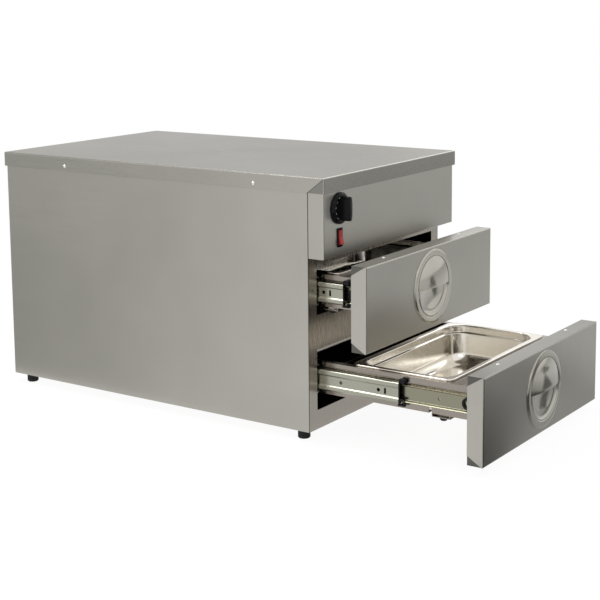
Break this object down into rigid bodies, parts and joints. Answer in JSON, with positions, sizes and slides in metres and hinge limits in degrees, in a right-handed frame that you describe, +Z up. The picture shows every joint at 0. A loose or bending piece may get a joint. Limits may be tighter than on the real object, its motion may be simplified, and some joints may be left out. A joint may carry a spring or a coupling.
{
  "type": "countertop warming drawer",
  "caption": "Heated countertop cabinet with stacked pull-out drawers for gastronorm pans, on ball-bearing slides, with a dial and a rocker switch over round flush pulls",
  "frame": {"origin": "centre of the bounding box on the surface it stands on, with both drawers at their rest positions (partly open)", "axes": "+Z up, -Y out of the front where the drawers open, +X to the right as seen from the front"},
  "size_m": [0.4204, 0.983, 0.42],
  "materials": {
    "brushed_casing": "brushed stainless sheet",
    "bright_steel": "bright annealed stainless sheet",
    "polished_pan": "polished stainless",
    "polished_handle": "satin pressed stainless",
    "zinc_steel": "zinc plated, slightly yellow",
    "cage_steel": "plain rolled strip",
    "zinc_screws": "bright zinc plated",
    "heater_steel": "heat-darkened steel sheath",
    "copper_bulb": "plain copper",
    "black_plastic": "black moulded plastic",
    "red_plastic": "translucent red plastic",
    "white_terminal": "moulded heat-resistant resin",
    "black_rubber": "matt black rubber",
    "mineral_wool": "mineral wool"
  },
  "bodies": {
    "cabinet": {"base_panel": "brushed_casing", "cabinet_screws": "zinc_screws", "cable_gland": "black_plastic", "chamber_floor": "bright_steel", "chamber_liner": "bright_steel", "control_fascia": "brushed_casing", "divider_rail": "bright_steel", "element_supports": "heater_steel", "feet": "black_rubber", "front_frame": "bright_steel", "insulation_slabs": "mineral_wool", "left_side_panel": "brushed_casing", "lower_heating_element": "heater_steel", "lower_left_cabinet_rail": "zinc_steel", "lower_right_cabinet_rail": "zinc_steel", "rear_liner": "bright_steel", "rear_panel": "brushed_casing", "right_side_panel": "brushed_casing", "switch_housing": "black_plastic", "terminal_block": "white_terminal", "thermostat_body": "white_terminal", "thermostat_bulb": "copper_bulb", "top_cover": "brushed_casing", "upper_heating_element": "heater_steel", "upper_left_cabinet_rail": "zinc_steel", "upper_right_cabinet_rail": "zinc_steel"},
    "lower_drawer": {"lower_drawer_front": "brushed_casing", "lower_front_lining": "bright_steel", "lower_front_screws": "zinc_screws", "lower_handle_cup": "polished_handle", "lower_drawer_frame": "bright_steel", "lower_stop_buffers": "black_rubber", "lower_pan": "polished_pan", "lower_left_drawer_rail": "zinc_steel", "lower_right_drawer_rail": "zinc_steel"},
    "lower_left_outer_cage_body": {"lower_left_outer_cage": "cage_steel"},
    "lower_left_middle_rail_body": {"lower_left_middle_rail": "zinc_steel"},
    "lower_left_inner_cage_body": {"lower_left_inner_cage": "cage_steel"},
    "lower_right_outer_cage_body": {"lower_right_outer_cage": "cage_steel"},
    "lower_right_middle_rail_body": {"lower_right_middle_rail": "zinc_steel"},
    "lower_right_inner_cage_body": {"lower_right_inner_cage": "cage_steel"},
    "upper_drawer": {"upper_drawer_front": "brushed_casing", "upper_front_lining": "bright_steel", "upper_front_screws": "zinc_screws", "upper_handle_cup": "polished_handle", "upper_drawer_frame": "bright_steel", "upper_stop_buffers": "black_rubber", "upper_pan": "polished_pan", "upper_left_drawer_rail": "zinc_steel", "upper_right_drawer_rail": "zinc_steel"},
    "upper_left_outer_cage_body": {"upper_left_outer_cage": "cage_steel"},
    "upper_left_middle_rail_body": {"upper_left_middle_rail": "zinc_steel"},
    "upper_left_inner_cage_body": {"upper_left_inner_cage": "cage_steel"},
    "upper_right_outer_cage_body": {"upper_right_outer_cage": "cage_steel"},
    "upper_right_middle_rail_body": {"upper_right_middle_rail": "zinc_steel"},
    "upper_right_inner_cage_body": {"upper_right_inner_cage": "cage_steel"},
    "dial": {"dial_knob": "black_plastic", "thermostat_spindle": "zinc_screws"},
    "rocker": {"switch_rocker": "red_plastic"}
  },
  "joints": [
    {"name": "lower_drawer_slide", "type": "slide", "parent": "cabinet", "child": "lower_drawer", "axis": [0, -1, 0], "range_m": [-0.274, 0.276]},
    {"name": "lower_left_outer_cage_slide", "type": "slide", "parent": "cabinet", "child": "lower_left_outer_cage_body", "axis": [0, -1, 0], "range_m": [-0.0685, 0.069]},
    {"name": "lower_left_middle_rail_slide", "type": "slide", "parent": "cabinet", "child": "lower_left_middle_rail_body", "axis": [0, -1, 0], "range_m": [-0.137, 0.138]},
    {"name": "lower_left_inner_cage_slide", "type": "slide", "parent": "cabinet", "child": "lower_left_inner_cage_body", "axis": [0, -1, 0], "range_m": [-0.2055, 0.207]},
    {"name": "lower_right_outer_cage_slide", "type": "slide", "parent": "cabinet", "child": "lower_right_outer_cage_body", "axis": [0, -1, 0], "range_m": [-0.0685, 0.069]},
    {"name": "lower_right_middle_rail_slide", "type": "slide", "parent": "cabinet", "child": "lower_right_middle_rail_body", "axis": [0, -1, 0], "range_m": [-0.137, 0.138]},
    {"name": "lower_right_inner_cage_slide", "type": "slide", "parent": "cabinet", "child": "lower_right_inner_cage_body", "axis": [0, -1, 0], "range_m": [-0.2055, 0.207]},
    {"name": "upper_drawer_slide", "type": "slide", "parent": "cabinet", "child": "upper_drawer", "axis": [0, -1, 0], "range_m": [-0.076, 0.474]},
    {"name": "upper_left_outer_cage_slide", "type": "slide", "parent": "cabinet", "child": "upper_left_outer_cage_body", "axis": [0, -1, 0], "range_m": [-0.019, 0.1185]},
    {"name": "upper_left_middle_rail_slide", "type": "slide", "parent": "cabinet", "child": "upper_left_middle_rail_body", "axis": [0, -1, 0], "range_m": [-0.038, 0.237]},
    {"name": "upper_left_inner_cage_slide", "type": "slide", "parent": "cabinet", "child": "upper_left_inner_cage_body", "axis": [0, -1, 0], "range_m": [-0.057, 0.3555]},
    {"name": "upper_right_outer_cage_slide", "type": "slide", "parent": "cabinet", "child": "upper_right_outer_cage_body", "axis": [0, -1, 0], "range_m": [-0.019, 0.1185]},
    {"name": "upper_right_middle_rail_slide", "type": "slide", "parent": "cabinet", "child": "upper_right_middle_rail_body", "axis": [0, -1, 0], "range_m": [-0.038, 0.237]},
    {"name": "upper_right_inner_cage_slide", "type": "slide", "parent": "cabinet", "child": "upper_right_inner_cage_body", "axis": [0, -1, 0], "range_m": [-0.057, 0.3555]},
    {"name": "dial_turn", "type": "hinge", "parent": "cabinet", "child": "dial", "pos_m": [-0.1605, -0.2085, 0.368], "axis": [0, 1, 0], "range_deg": [0, 270]},
    {"name": "rocker_tilt", "type": "hinge", "parent": "cabinet", "child": "rocker", "pos_m": [-0.1605, -0.2075, 0.322], "axis": [1, 0, 0], "range_deg": [0, 16]}
  ],
  "couplings": [
    {"joint": "lower_left_outer_cage_slide", "follows": "lower_drawer_slide", "ratio": 0.25},
    {"joint": "lower_left_middle_rail_slide", "follows": "lower_drawer_slide", "ratio": 0.5},
    {"joint": "lower_left_inner_cage_slide", "follows": "lower_drawer_slide", "ratio": 0.75},
    {"joint": "lower_right_outer_cage_slide", "follows": "lower_drawer_slide", "ratio": 0.25},
    {"joint": "lower_right_middle_rail_slide", "follows": "lower_drawer_slide", "ratio": 0.5},
    {"joint": "lower_right_inner_cage_slide", "follows": "lower_drawer_slide", "ratio": 0.75},
    {"joint": "upper_left_outer_cage_slide", "follows": "upper_drawer_slide", "ratio": 0.25},
    {"joint": "upper_left_middle_rail_slide", "follows": "upper_drawer_slide", "ratio": 0.5},
    {"joint": "upper_left_inner_cage_slide", "follows": "upper_drawer_slide", "ratio": 0.75},
    {"joint": "upper_right_outer_cage_slide", "follows": "upper_drawer_slide", "ratio": 0.25},
    {"joint": "upper_right_middle_rail_slide", "follows": "upper_drawer_slide", "ratio": 0.5},
    {"joint": "upper_right_inner_cage_slide", "follows": "upper_drawer_slide", "ratio": 0.75}
  ]
}
